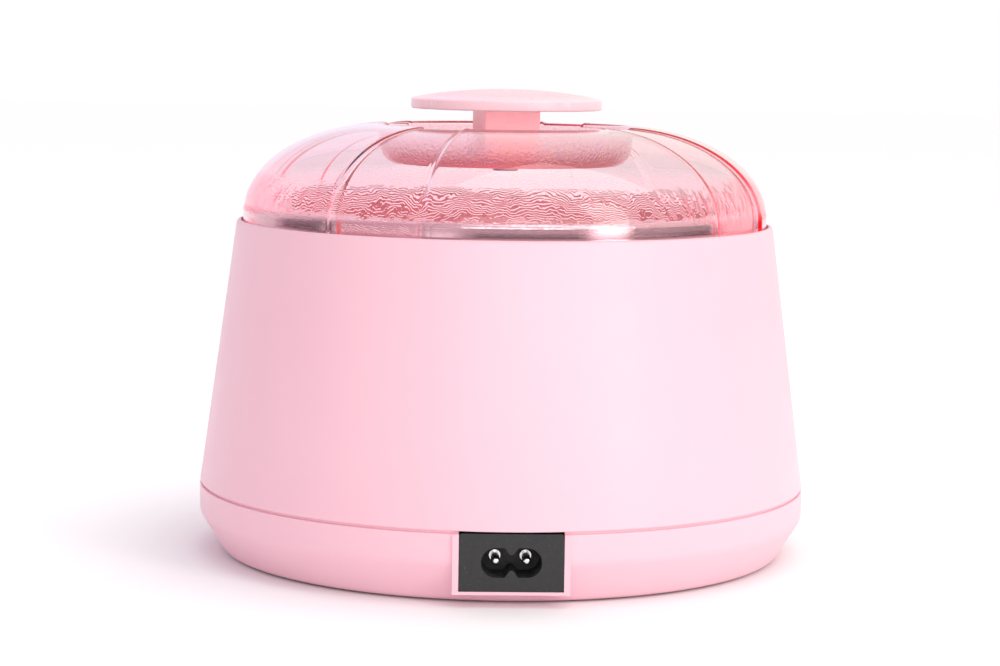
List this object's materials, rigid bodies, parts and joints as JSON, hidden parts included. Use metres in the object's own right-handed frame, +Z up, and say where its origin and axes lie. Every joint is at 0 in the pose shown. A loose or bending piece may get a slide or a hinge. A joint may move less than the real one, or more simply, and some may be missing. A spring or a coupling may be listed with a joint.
{
  "type": "wax warmer pot",
  "caption": "Conical salon wax warmer with a petalled clear lid, lift-out wax pot, heated chamber, front temperature dial and figure-8 mains inlet.",
  "frame": {"origin": "middle of the base, at the height of the table it stands on", "axes": "+Z up; -Y to the rear with the mains inlet; +Y to the front with the temperature dial; +X to the left seen from the front"},
  "size_m": [0.1846, 0.1845, 0.1408],
  "materials": {
    "housing_plastic": "satin moulded",
    "knob_plastic": "satin moulded",
    "clear_plastic": "clear tinted, polished",
    "foot_rubber": "matte",
    "seal_rubber": "matte",
    "screw_steel": "zinc plated",
    "sheet_steel": "rolled",
    "contact_metal": "nickel plated",
    "contact_brass": "plain",
    "inlet_plastic": "fine spark-eroded grain",
    "pot_aluminium": "polished rim, pink non-stick coating inside",
    "chamber_aluminium": "as cast",
    "insulation": "woven glass fibre",
    "tie_plastic": "moulded",
    "board_laminate": "solder mask",
    "connector_plastic": "moulded",
    "connector_white": "moulded",
    "component_plastic": "moulded",
    "component_black": "moulded",
    "lamp_plastic": "clear red",
    "led_plastic": "clear",
    "lead_mains": "extruded",
    "lead_white": "extruded",
    "lead_red": "extruded"
  },
  "bodies": {
    "housing": {"upper_housing": "housing_plastic", "bottom_cover": "housing_plastic", "rubber_feet": "foot_rubber", "base_screws": "screw_steel", "inlet_body": "inlet_plastic", "inlet_pins": "contact_metal", "terminal_sleeves": "contact_brass", "heating_chamber": "chamber_aluminium", "flange_gasket": "seal_rubber", "chamber_brackets": "sheet_steel", "bracket_screws": "screw_steel", "heater_band": "sheet_steel", "band_bolt": "screw_steel", "insulation_wrap": "insulation", "insulation_ties": "tie_plastic", "temperature_sensor": "contact_brass", "thermal_cutoff": "contact_metal", "cutoff_clamp": "sheet_steel", "sensor_screws": "screw_steel", "heat_shield": "chamber_aluminium", "shield_screw": "screw_steel", "shield_grommet": "seal_rubber", "control_board": "board_laminate", "board_screws": "screw_steel", "terminal_block": "connector_plastic", "relay": "component_plastic", "film_capacitor": "component_plastic", "bulk_capacitor": "component_plastic", "heat_sink": "chamber_aluminium", "power_triac": "component_black", "sensor_plug": "connector_white", "control_plug": "connector_white", "potentiometer": "sheet_steel", "dial_washer": "sheet_steel", "dial_nut": "contact_brass", "indicator_lens": "lamp_plastic", "indicator_led": "led_plastic", "mains_leads": "lead_mains", "heater_leads": "lead_white", "sensor_leads": "lead_red", "cutoff_leads": "lead_white", "dial_leads": "lead_mains", "lamp_leads": "lead_red"},
    "pot": {"wax_pot": "pot_aluminium"},
    "lid": {"lid": "clear_plastic", "lid_well": "clear_plastic", "lid_knob": "knob_plastic", "knob_screw": "screw_steel", "knob_washer": "seal_rubber"},
    "dial": {"dial": "knob_plastic", "potentiometer_shaft": "contact_metal"}
  },
  "joints": [
    {"name": "pot_lift", "type": "slide", "parent": "housing", "child": "pot", "axis": [0, 0, 1], "range_m": [0, 0.08]},
    {"name": "lid_lift", "type": "slide", "parent": "pot", "child": "lid", "axis": [0, 0, 1], "range_m": [0, 0.06]},
    {"name": "dial_turn", "type": "hinge", "parent": "housing", "child": "dial", "pos_m": [0, 0.088, 0.042], "axis": [0, -1, 0], "range_deg": [0, 270]}
  ]
}
